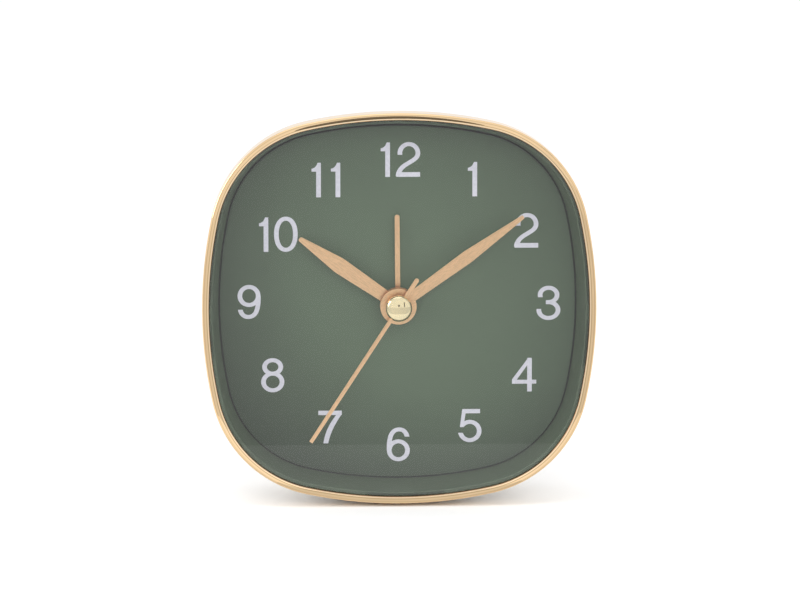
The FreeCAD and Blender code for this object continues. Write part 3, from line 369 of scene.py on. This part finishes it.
def bezel_gold():
    """Polished pale gold with a crowned front and thin paler and browner rings of painted reflection round
    it.
    The cut wall towards the lens is painted darker and browner: painted shade of the gap under the lip."""
    finish, plate = polished("gold_metal", (238, 208, 166), 0.02, 0.0005 * mm)
    inset = finish.inset()
    # Painted reflection: pale highlight and brown shade lines mixed into the gold's colour, ring by ring.
    for start, end, colour in painted_reflection_rings:
        in_painted_ring = finish.maths("MULTIPLY", finish.ranged(inset, 0.0, 1.0, start, start + ring_blur),
                              finish.ranged(inset, 1.0, 0.0, end - ring_blur, end))
        plate = finish.mixed(in_painted_ring, plate, colour)
    # Painted shade: the inward-facing wall under the lip is coloured dark brown.
    finish.colour(finish.mixed(finish.inwards((0, 0, bezel_middle)), plate, (120, 88, 60)))
    finish.rolled(inset, crown_width, crown_roll, crown_bend)
    return finish.material


def cap_gold():
    """Bright gold plate on the small cap, whose rim turns dark where it mirrors the dial."""
    finish = polished("gold_cap", (246, 229, 188), 0.008, 0.0001 * mm)[0]
    low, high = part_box("hand_cap")
    up = finish.maths("SUBTRACT", finish.along("Z"), (low.z + high.z) / 2)
    outward = finish.length(finish.along("X"), up)
    finish.rolled(finish.maths("SUBTRACT", (high.x - low.x) / 2, outward), cap_roll, cap_roll, cap_bend)
    return finish.material


def brushed(name, colour, roughness, turn):
    """Satin metal with fine lines along a hand, whose angle from twelve is given."""
    finish = Finish(name)
    finish.set(metallic=1.0)
    lines = finish.noise(1, 2.0, finish.mapped((6500, 6500, 900), turn=-math.radians(turn)))
    fine = finish.noise(5200, 2.0)
    mixed = finish.mixed(finish.ranged(lines, 0.0, 1.0, 0.35, 0.65), shade(colour, 0.95),
                         shade(colour, 1.03))
    finish.colour(finish.mixed(finish.ranged(fine, 0.0, 0.2, 0.4, 0.7), mixed, shade(colour, 1.06)))
    finish.roughness(finish.ranged(lines, roughness - 0.05, roughness + 0.06, 0.3, 0.7))
    finish.bump(lines, 0.002 * mm, 0.5)
    return finish.material


def clear_lens():
    """Clear acrylic: it lets light through and mirrors the room a little, more at a slant.
    The outer faces mirror for both faces of the sheet, so that no light is caught inside it."""
    finish = Finish("clear_lens")
    finish.tree.nodes.remove(finish.shader)
    through = finish.add("ShaderNodeBsdfTransparent")
    through.inputs["Color"].default_value = (0.985, 0.99, 0.985, 1)
    mirror = finish.add("ShaderNodeBsdfAnisotropic")
    wipe = finish.ranged(finish.noise(160, 4.0), 0.0, 0.03, 0.45, 0.8)
    finish.link(wipe, mirror.inputs["Roughness"])
    facing = finish.add("ShaderNodeFresnel")
    facing.inputs["IOR"].default_value = 1.8
    outside = finish.maths("SUBTRACT", 1, finish.add("ShaderNodeNewGeometry").outputs["Backfacing"])
    mix = finish.add("ShaderNodeMixShader")
    finish.link(finish.maths("MULTIPLY", facing.outputs["Fac"], outside), mix.inputs["Fac"])
    finish.link(through.outputs["BSDF"], mix.inputs[1])
    finish.link(mirror.outputs["BSDF"], mix.inputs[2])
    finish.link(mix.outputs["Shader"], finish.output.inputs["Surface"])
    return finish.material


def dial_paint():
    """Grey-green lacquer on the dial, with painted shade that makes it a little darker towards its edge
    and its lower left.
    """
    finish = Finish("green_dial")
    low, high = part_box("dial")
    middle = (low.z + high.z) / 2
    # Painted shade: darker away from the middle, and darker still away from a place up on the right.
    outward = finish.ranged(finish.distance((0, low.y, middle)), 0.0, 1.0, *dial_painted_shade)
    base = finish.mixed(outward, (77, 93, 74), (66, 80, 63))
    across, up = painted_shade_place
    painted_shade_share = finish.ranged(finish.distance((across, low.y, middle + up)), 0.0, 0.8, *painted_shade_reach)
    base = finish.mixed(painted_shade_share, base, (46, 57, 45))
    speckle = finish.ranged(finish.noise(700, 1.0), 0.0, 0.05, 0.45, 0.75)
    finish.colour(finish.mixed(speckle, base, (86, 101, 82)))
    finish.roughness(finish.ranged(finish.noise(700, 2.0), 0.46, 0.52))
    finish.bump(finish.noise(420, 1.0), 0.0005 * mm, 0.2)
    finish.set(specular_ior_level=0.35)
    return finish.material


def rubber():
    """Soft dark rubber with a dull grainy face."""
    finish = Finish("rubber")
    finish.colour(finish.mixed(finish.noise(900, 3.0), (40, 40, 41), (62, 61, 60)))
    finish.roughness(finish.ranged(finish.noise(1500), 0.72, 0.9))
    finish.bump(finish.noise(2600, 3.0), 0.03 * mm, 0.8)
    finish.set(specular_ior_level=0.25)
    return finish.material


def turned_steel(name, colour, roughness):
    """Steel with fine turned lines and small bright nicks."""
    finish = Finish(name)
    finish.set(metallic=1.0)
    lines = finish.noise(1, 2.0, finish.mapped((9000, 400, 2500)))
    finish.colour(finish.mixed(lines, shade(colour, 0.86), shade(colour, 1.08)))
    finish.roughness(finish.ranged(finish.noise(2600, 2.0), roughness - 0.08, roughness + 0.1))
    finish.bump(lines, 0.004 * mm, 0.6)
    return finish.material


def battery_jacket():
    """A plain printed film on the cell, with a pale band near its positive end."""
    finish = Finish("battery_jacket")
    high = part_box("battery")[1]
    film_end = high.x - film_inset
    band_start = high.x - film_band
    across = finish.along("X")
    in_band = finish.ranged(across, 0.0, 1.0, band_start, band_start + print_edge)
    on_end = finish.ranged(across, 0.0, 1.0, film_end, film_end + print_edge)
    film = finish.mixed(in_band, (46, 58, 74), (188, 192, 196))
    finish.colour(finish.mixed(on_end, film, (176, 178, 182)))
    finish.roughness(finish.ranged(finish.noise(500, 2.0), 0.22, 0.34))
    finish.bump(finish.noise(260, 3.0), 0.03 * mm, 0.3)
    finish.set(coat_weight=0.3, coat_roughness=0.12)
    return finish.material


def circuit_board():
    """Green solder mask with paler copper runs under it."""
    finish = Finish("board_green")
    upright = finish.waves(420, "X", "SAW")
    level = finish.waves(300, "Z", "SAW")
    runs = finish.mixed(finish.ranged(upright, 0.0, 1.0, 0.72, 0.76), (26, 78, 48), (52, 112, 70))
    finish.colour(finish.mixed(finish.ranged(level, 0.0, 0.8, 0.86, 0.88), runs, (46, 104, 64)))
    finish.roughness(finish.ranged(finish.noise(600), 0.25, 0.38))
    finish.bump(upright, 0.02 * mm, 0.3)
    return finish.material


def wound_copper():
    """Enamelled wire, its turns showing as rings along the coil."""
    finish = Finish("copper")
    finish.set(metallic=1.0)
    turns = finish.waves(1900, "Z")
    finish.colour(finish.mixed(turns, (120, 62, 36), (206, 128, 84)))
    finish.roughness(finish.ranged(finish.noise(800), 0.25, 0.4))
    finish.bump(turns, 0.05 * mm, 0.8)
    return finish.material


def gear_plastic():
    """Natural white acetal, waxy and a little translucent."""
    finish = Finish("white_gear")
    finish.colour(finish.mixed(finish.noise(400, 2.0), (226, 224, 214), (238, 237, 230)))
    finish.roughness(finish.ranged(finish.noise(1200), 0.3, 0.42))
    finish.bump(finish.noise(1800, 2.0), 0.008 * mm, 0.5)
    finish.set(subsurface_weight=0.15, subsurface_scale=1.0 * mm)
    return finish.material


def make_finishes():
    """Every finish by the record's material slot."""
    ivory = (210, 204, 196)
    return {
        "gold_metal": bezel_gold(),
        "clear_lens": clear_lens(),
        "green_ring": moulded("green_ring", (75, 88, 70), 0.45, 3000, 0.003 * mm, 0.35),
        "green_dial": dial_paint(),
        "black_plastic": moulded("black_plastic", (26, 26, 25), 0.5, 2200, 0.02 * mm, 0.25),
        "ivory_plastic": moulded("ivory_plastic", ivory, 0.40, 2400, 0.015 * mm),
        "ivory_cover": moulded("ivory_cover", shade(ivory, 0.99), 0.48, 2000, 0.03 * mm),
        "ivory_door": moulded("ivory_door", shade(ivory, 0.985), 0.47, 2000, 0.03 * mm),
        "ivory_switch": moulded("ivory_switch", shade(ivory, 0.97), 0.36),
        "ivory_knob": moulded("ivory_knob", shade(ivory, 0.98), 0.36),
        "rubber": rubber(),
        "screw_steel": turned_steel("screw_steel", (176, 177, 180), 0.3),
        "battery_jacket": battery_jacket(),
        "nickel": turned_steel("nickel", (202, 196, 186), 0.24),
        "movement_plastic": moulded("movement_plastic", (206, 206, 202), 0.42),
        "gold_cap": cap_gold(),
        "white_gear": gear_plastic(),
        "magnet_black": moulded("magnet_black", (58, 57, 58), 0.42, 3000),
        "soft_iron": turned_steel("soft_iron", (142, 142, 146), 0.42),
        "copper": wound_copper(),
        "board_green": circuit_board(),
        "black_resin": moulded("black_resin", (30, 30, 31), 0.22, 1500, 0.01 * mm, 0.5),
        "spring_bronze": turned_steel("spring_bronze", (208, 160, 104), 0.28),
        "brass": turned_steel("brass", (214, 182, 116), 0.32),
    }


def dress_nodes():
    """A finish on every CAD node, by its slot in the record. Each hand is brushed along its length."""
    made = make_finishes()
    for row in frame["record"]["subparts"]:
        name, slot_name = row["node"], row["material_slot"]
        if name in hand_angles:
            material = brushed(name + "_satin", hand_gold, hand_roughness, hand_angles[name])
        else:
            material = made[slot_name]
        node = nodes[name]
        node.data.materials.clear()
        node.data.materials.append(material)


def arc(x, y, radius_x, radius_y, start, end, power=2.0):
    """Points along an ellipse, or a squarer oval where the power is above 2, by angles in degrees."""
    points = []
    for step in range(arc_steps + 1):
        angle = math.radians(start + (end - start) * step / arc_steps)
        along_x, along_y = math.cos(angle), math.sin(angle)
        points.append(Vector((x + radius_x * math.copysign(abs(along_x) ** (2 / power), along_x),
                              y + radius_y * math.copysign(abs(along_y) ** (2 / power), along_y))))
    return points


def bend(first, first_handle, last_handle, last):
    """Points along one smooth curve with two handles."""
    corners = [Vector((*point, 0)) for point in (first, first_handle, last_handle, last)]
    return [point.to_2d() for point in interpolate_bezier(*corners, bend_steps)]


def stroke(points, stem, bar):
    """A pen stroke's outline: upright runs are as wide as the stem, and level ones as the bar."""
    left, right = [], []
    for index, point in enumerate(points):
        before = points[max(index - 1, 0)]
        after = points[min(index + 1, len(points) - 1)]
        along = (after - before).normalized()
        across = Vector((-along.y * stem / 2, along.x * bar / 2))
        left.append(point + across)
        right.append(point - across)
    return left + right[::-1]


def clipped(outline, level, above):
    """What lies above, or else below, a level line of a stroke."""
    kept = []
    for point, after in zip(outline, outline[1:] + outline[:1]):
        inside = (point.y >= level) == above
        if inside:
            kept.append(point)
        if inside != ((after.y >= level) == above):
            share = (level - point.y) / (after.y - point.y)
            kept.append(point.lerp(after, share))
    return kept


def flat(*corners):
    """A straight-sided outline."""
    return [Vector(corner) for corner in corners]


def bar_between(left, right, low, high):
    return flat((left, low), (right, low), (right, high), (left, high))


# The digits, in millimetres from the lower left corner of each: 7.9 high and 5.4 wide
def pen(points):
    return stroke(points, numeral_stem / mm, numeral_bar / mm)


def draw_one():
    flag = bend((0.0, 6.61), (0.75, 6.70), (1.15, 7.20), (1.37, 7.95))
    return [flat((1.05, 5.92), (0.0, 5.92)) + flag + flat((2.13, 7.95), (2.13, 0.0), (1.05, 0.0))]


def draw_two():
    hook = pen(arc(2.87, 5.46, 2.06, 2.09, 215, 90))
    bowl = pen(arc(2.87, 5.46, 2.06, 2.09, 92, 0))
    neck = pen(bend((4.93, 5.50), (4.93, 4.45), (4.20, 4.05), (3.17, 3.41)))
    tail = pen(bend((3.22, 3.44), (1.75, 2.58), (0.62, 1.95), (0.37, 0.20)))
    return [clipped(hook, 5.09, True), bowl, neck, tail, bar_between(0.0, 5.44, 0.0, 1.08)]


def draw_three():
    upper, lower = (2.78, 5.81, 1.95, 1.66), (2.76, 2.30, 2.21, 1.84)
    return [clipped(pen(arc(*upper, 215, 90)), 5.30, True), pen(arc(*upper, 92, -90)),
            pen(arc(*lower, 90, -92)), clipped(pen(arc(*lower, -90, -215)), 2.56, False),
            bar_between(2.16, 2.80, 3.68, 4.60)]


def draw_four():
    slant = flat((3.72, 7.82), (0.0, 2.83), (0.0, 1.82), (1.07, 2.73), (3.49, 6.13), (4.00, 7.82))
    return [slant, bar_between(3.49, 4.56, 0.0, 7.82), bar_between(0.0, 5.58, 1.82, 2.73)]


def draw_five():
    side = flat((0.98, 7.77), (0.42, 3.57), (1.34, 3.57), (1.46, 4.98), (1.73, 6.78), (2.00, 7.77))
    bowl = (2.71, 2.65, 2.17, 2.14)
    return [side, bar_between(0.98, 5.06, 6.78, 7.77), pen(arc(*bowl, 140, -92)),
            clipped(pen(arc(*bowl, -90, -215)), 2.24, False)]


def draw_six():
    bowl = (2.65, 2.55, 2.10, 2.09)
    tip = pen(bend((4.72, 5.30), (4.60, 6.75), (3.80, 7.42), (2.82, 7.42)))
    back = pen(bend((2.86, 7.42), (1.20, 7.42), (0.42, 5.90), (0.53, 2.55)))
    return [pen(arc(*bowl, 0, 182)), pen(arc(*bowl, 180, 362)), clipped(tip, 5.74, True), back]


def draw_seven():
    right = bend((5.38, 6.80), (4.50, 5.50), (2.85, 3.10), (2.26, 0.0))
    left = bend((1.15, 0.0), (1.50, 2.90), (3.00, 5.20), (4.10, 6.62))
    return [bar_between(0.0, 5.38, 6.61, 7.62), flat((5.38, 6.90)) + right + left + flat((4.10, 6.90))]


def draw_eight():
    upper, lower = (2.69, 5.91, 1.86, 1.57), (2.71, 2.41, 2.13, 1.94)
    return [pen(arc(*oval, start, start + 182)) for oval in (upper, lower) for start in (0, 180)]


def draw_nine():
    turned = []
    for outline in draw_six():
        turned.append([Vector((5.30 - point.x, 7.86 - point.y)) for point in outline])
    return turned


def draw_zero():
    return [pen(arc(2.73, 4.05, 2.18, 3.60, start, start + 182, 2.15)) for start in (0, 180)]


draw_digit = [draw_zero, draw_one, draw_two, draw_three, draw_four, draw_five, draw_six,
              draw_seven, draw_eight, draw_nine]


def moved(outlines, right, up):
    return [[point + Vector((right, up)) for point in outline] for outline in outlines]


def spans(outlines):
    """The left, right, low and high sides of some outlines."""
    xs = [point.x for outline in outlines for point in outline]
    ys = [point.y for outline in outlines for point in outline]
    return min(xs), max(xs), min(ys), max(ys)


def anticlockwise(outline):
    """An outline with its inside on the left, as filling it needs."""
    turned = sum(point.cross(after) for point, after in zip(outline, outline[1:] + outline[:1]))
    return outline if turned > 0 else outline[::-1]


def relief(name, outlines, plane, rise, material):
    """A raised mark from overlapping outlines (x, z) on a plane of constant Y. A negative rise
    faces the front. Its faces are made in a fixed order, so that each run gives the same mesh."""
    corners, loops = [], []
    for outline in outlines:
        loops.append(list(range(len(corners), len(corners) + len(outline))))
        corners += anticlockwise(outline)
    points, _, faces, _, _, owners = delaunay_2d_cdt(corners, [], loops, 1, weld_distance)
    filled = [face for face, inside in zip(faces, owners) if inside]
    sides = [side for face in filled for side in zip(face, face[1:] + face[:1])]
    shared = set(sides)
    used = sorted({index for index, _ in sides})
    mesh = bmesh.new()
    foot = {index: mesh.verts.new((points[index].x, plane, points[index].y)) for index in used}
    top = {index: mesh.verts.new((points[index].x, plane + rise, points[index].y)) for index in used}
    for face in filled:
        mesh.faces.new([foot[index] for index in face])
    for face in filled:
        mesh.faces.new([top[index] for index in face[::-1]])
    for first, last in sides:
        if (last, first) not in shared:
            mesh.faces.new((foot[last], foot[first], top[first], top[last]))
    bmesh.ops.recalc_face_normals(mesh, faces=mesh.faces[:])
    bmesh.ops.dissolve_limit(mesh, angle_limit=math.radians(flat_angle), verts=mesh.verts[:],
                             edges=mesh.edges[:])
    data = bpy.data.meshes.new(name)
    mesh.to_mesh(data)
    mesh.free()
    data.materials.append(material)
    piece = bpy.data.objects.new(name, data)
    bpy.context.scene.collection.objects.link(piece)
    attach(piece, "case")


def numeral_ink():
    """Pale lavender-white printing ink, with slightly uneven cover."""
    finish = Finish("numeral_ink")
    cover = finish.noise(1800, 3.0)
    finish.colour(finish.mixed(finish.ranged(cover, 0.0, 1.0, 0.3, 0.7), (186, 185, 197), (198, 196, 208)))
    finish.roughness(finish.ranged(finish.noise(1200), 0.38, 0.5))
    finish.bump(finish.noise(3600, 2.0), 0.004 * mm, 0.5)
    return finish.material


def make_numerals():
    """The numerals one to twelve, printed on the dial."""
    low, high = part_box("dial")
    middle = Vector((0, (low.z + high.z) / 2))
    ink = numeral_ink()
    for number, place in numeral_places.items():
        outlines = []
        for digit in str(number):
            glyph = draw_digit[int(digit)]()
            if outlines:
                gap = ones_gap if number == 11 else digit_gap
                glyph = moved(glyph, spans(outlines)[1] + gap / mm - spans(glyph)[0], 0)
            outlines += glyph
        left, right, bottom, top = spans(outlines)
        outlines = moved(outlines, place[0] - (left + right) / 2, place[1] - (bottom + top) / 2)
        outlines = [[middle + point * mm for point in outline] for outline in outlines]
        relief(f"numeral_{number}", outlines, low.y, -numeral_relief, ink)


def curved_arrow(centre, radius, clockwise):
    """An arrow that curves over a knob."""
    turn = -1 if clockwise else 1
    start, end = 90 - turn * arrow_half_angle, 90 + turn * arrow_half_angle
    line = arc(centre.x, centre.y, radius, radius, start, end)
    along = (line[-1] - line[-2]).normalized()
    across = Vector((-along.y, along.x))
    head = [line[-1] + across * arrow_head, line[-1] + along * arrow_point_share * arrow_head,
            line[-1] - across * arrow_head]
    return [stroke(line, arrow_width, arrow_width), head]


def word(letters, middle, low):
    """A short word of plain strokes, read from behind the clock, so that X runs backwards."""
    width = word_width_share * word_height
    step = width + 2 * word_stroke
    left = middle + (width + (len(letters) - 1) * step) / 2
    shapes = {
        "O": [[(0.5, 0), (0, 0.25), (0, 0.75), (0.5, 1), (1, 0.75), (1, 0.25), (0.5, 0)]],
        "N": [[(0, 0), (0, 1)], [(0, 1), (1, 0)], [(1, 0), (1, 1)]],
        "F": [[(0, 0), (0, 1)], [(0, 1), (1, 1)], [(0, 0.52), (0.8, 0.52)]],
    }
    outlines = []
    for index, letter in enumerate(letters):
        start = left - index * step
        for line in shapes[letter]:
            points = [Vector((start - x * width, low + y * word_height)) for x, y in line]
            for first, last in zip(points, points[1:]):
                lead = (last - first).normalized() * word_stroke / 2
                outlines.append(stroke([first - lead, last + lead], word_stroke, word_stroke))
    return outlines


def make_back_marks():
    """Arrows over the knobs and the switch's two words, moulded on the rear cover."""
    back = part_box("rear_cover")[1].y
    plastic = moulded("ivory_marks", (226, 220, 212), 0.42)
    for knob, clockwise in (("time_knob", True), ("alarm_knob", False)):
        low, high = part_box(knob)
        middle = Vector(((low.x + high.x) / 2, (low.z + high.z) / 2))
        arrow = curved_arrow(middle, arrow_radius, clockwise)
        relief(knob + "_arrow", arrow, back, mark_relief, plastic)
    low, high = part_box("alarm_switch")
    middle = (low.x + high.x) / 2
    for letters, up in (("ON", high.z + word_clear), ("OFF", low.z - word_clear - word_height)):
        relief("switch_" + letters.lower(), word(letters, middle, up), back, mark_relief, plastic)


def plain_sheet(name, corners, material, seen):
    """A flat stage piece. Where it isn't seen, only reflections show it."""
    data = bpy.data.meshes.new(name)
    data.from_pydata(corners, [], [tuple(range(len(corners)))])
    data.materials.append(material)
    piece = bpy.data.objects.new(name, data)
    bpy.context.scene.collection.objects.link(piece)
    if not seen:
        piece.visible_camera = False
        piece.visible_diffuse = False
        piece.visible_shadow = False
        piece.visible_transmission = False


def glow(name, light):
    """A plain emitter for a reflection card, a little brighter on the left."""
    finish = Finish(name)
    finish.tree.nodes.remove(finish.shader)
    emitter = finish.add("ShaderNodeEmission")
    slope = finish.ranged(finish.along("X"), (1 + card_tilt) * light, (1 - card_tilt) * light,
                          -card_gradient, card_gradient)
    finish.link(slope, emitter.inputs["Strength"])
    finish.link(emitter.outputs["Emission"], finish.output.inputs["Surface"])
    return finish.material


def make_stage():
    """The pale floor, what the lens and bezel mirror of it, and the dark camera and lamp stand
    that the metal mirrors."""
    finish = Finish("studio_floor")
    finish.colour(finish.mixed(finish.noise(6, 3.0), floor_colour, shade(floor_colour, 1.01)))
    finish.set(roughness=0.7, specular_ior_level=0.2)
    half = floor_half
    plain_sheet("studio_floor", [(-half, -half, 0), (half, -half, 0), (half, half, 0), (-half, half, 0)],
                finish.material, True)
    front = cad_box[0][1]
    ends = [card[1] for card in floor_cards[1:]] + [card_half]
    for (name, start, light), end in zip(floor_cards, ends):
        near, far = front - start, front - end
        plain_sheet(name, [(-card_half, far, card_rise), (card_half, far, card_rise),
                           (card_half, near, card_rise), (-card_half, near, card_rise)],
                    glow(name, light), False)
    camera = bpy.context.scene.camera.matrix_world.translation
    rim = arc(*camera_card_place, *camera_card_half, 0, open_oval)
    plain_sheet("camera_card", [(point.x, camera.y, point.y) for point in rim],
                glow("camera_card", camera_light), False)
    x, y = stand_place
    plain_sheet("stand_card", [(x, y, 0), (x + stand_width, y, 0), (x + stand_width, y, stand_height),
                               (x, y, stand_height)], glow("stand_card", stand_light), False)


def add_light(name, place, width, height, brightness, mirrored):
    """A soft rectangular light of a brightness, the same whatever its size. Metal need not mirror it."""
    data = bpy.data.lights.new(name, "AREA")
    data.shape = "RECTANGLE"
    data.size = width
    data.size_y = height
    data.energy = brightness * math.pi * width * height
    lamp = bpy.data.objects.new(name, data)
    bpy.context.scene.collection.objects.link(lamp)
    lamp.visible_glossy = mirrored
    lamp.location = place
    lamp.rotation_euler = (Vector((0, 0, light_aim)) - Vector(place)).to_track_quat("-Z", "Y").to_euler()


def make_lights():
    """An even white world and the soft lights."""
    scene = bpy.context.scene
    world = bpy.data.worlds.new("studio")
    world.use_nodes = True
    sky = world.node_tree.nodes["Background"]
    sky.inputs["Color"].default_value = (1, 1, 1, 1)
    sky.inputs["Strength"].default_value = world_light
    scene.world = world
    for name, settings in lights.items():
        add_light(name, *settings)
    scene.view_settings.view_transform = "Standard"


def make_camera():
    """A long lens a little above and left of the middle, at the photograph's angle."""
    turn, rise = math.radians(camera_azimuth), math.radians(camera_elevation)
    back = Vector((math.sin(turn) * math.cos(rise), -math.cos(turn) * math.cos(rise), math.sin(rise)))
    right = Vector((math.cos(turn), math.sin(turn), 0))
    up = back.cross(right)
    low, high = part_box("bezel")
    aim = Vector((0, low.y, (low.z + high.z) / 2)) + right * aim_right + up * aim_up
    data = bpy.data.cameras.new("camera")
    data.sensor_width = sensor_width
    data.lens = sensor_width * camera_distance / view_width
    camera = bpy.data.objects.new("camera", data)
    bpy.context.scene.collection.objects.link(camera)
    placed = Matrix((right, up, back)).transposed().to_4x4()
    placed.translation = aim + back * camera_distance
    camera.matrix_world = placed
    bpy.context.scene.camera = camera


make_camera()
make_lights()
make_stage()
dress_nodes()
make_numerals()
make_back_marks()
